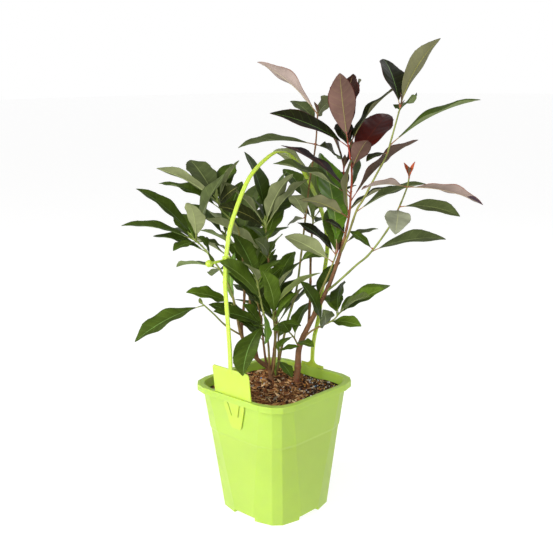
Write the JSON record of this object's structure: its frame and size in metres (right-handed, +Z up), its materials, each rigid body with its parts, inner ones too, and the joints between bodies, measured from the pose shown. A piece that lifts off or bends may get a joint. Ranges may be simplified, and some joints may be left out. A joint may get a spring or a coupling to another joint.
{
  "type": "potted sweet viburnum",
  "caption": "Young evergreen shrub with copper-tinted new leaves, in a square tapered plastic pot with a hoop carrying handle clipped across its rim.",
  "frame": {"origin": "centre of the pot's flat underside, on the surface that it stands on", "axes": "+Z up; the pot's flat sides face along X and Y, and the handle's blank plate is on the -Y side"},
  "size_m": [0.476, 0.4195, 0.7452],
  "materials": {
    "pot": "satin lime green, moulded",
    "handle": "bright yellow-green, moulded",
    "potting_mix": "loose bark chips",
    "bark": "young brown bark with pale pores",
    "foliage": "glossy leaves, dark green, olive and copper",
    "copper_foliage": "glossy young leaves, copper to dark red-brown"
  },
  "bodies": {
    "root": {"bough_centre": "bark", "bough_centre_left": "bark", "bough_centre_low": "bark", "bough_left_crown": "bark", "bough_left_mid": "bark", "bough_rear_left": "bark", "bough_rear_right": "bark", "bough_slender": "bark", "foliage_centre": "foliage", "foliage_centre_left": "foliage", "foliage_centre_low": "foliage", "foliage_foot": "foliage", "foliage_left_crown": "foliage", "foliage_left_low": "foliage", "foliage_left_mid": "foliage", "foliage_left_tip": "foliage", "foliage_low": "foliage", "foliage_mid_right": "foliage", "foliage_rear_crown": "foliage", "foliage_rear_left": "foliage", "foliage_rear_low": "foliage", "foliage_rear_right": "foliage", "foliage_rear_top": "foliage", "foliage_right": "copper_foliage", "foliage_right_low": "foliage", "foliage_right_top": "foliage", "foliage_slender": "foliage", "foliage_top": "copper_foliage", "handle": "handle", "pot": "pot", "potting_mix": "potting_mix", "stem_left": "bark", "stem_right": "bark"}
  },
  "joints": []
}
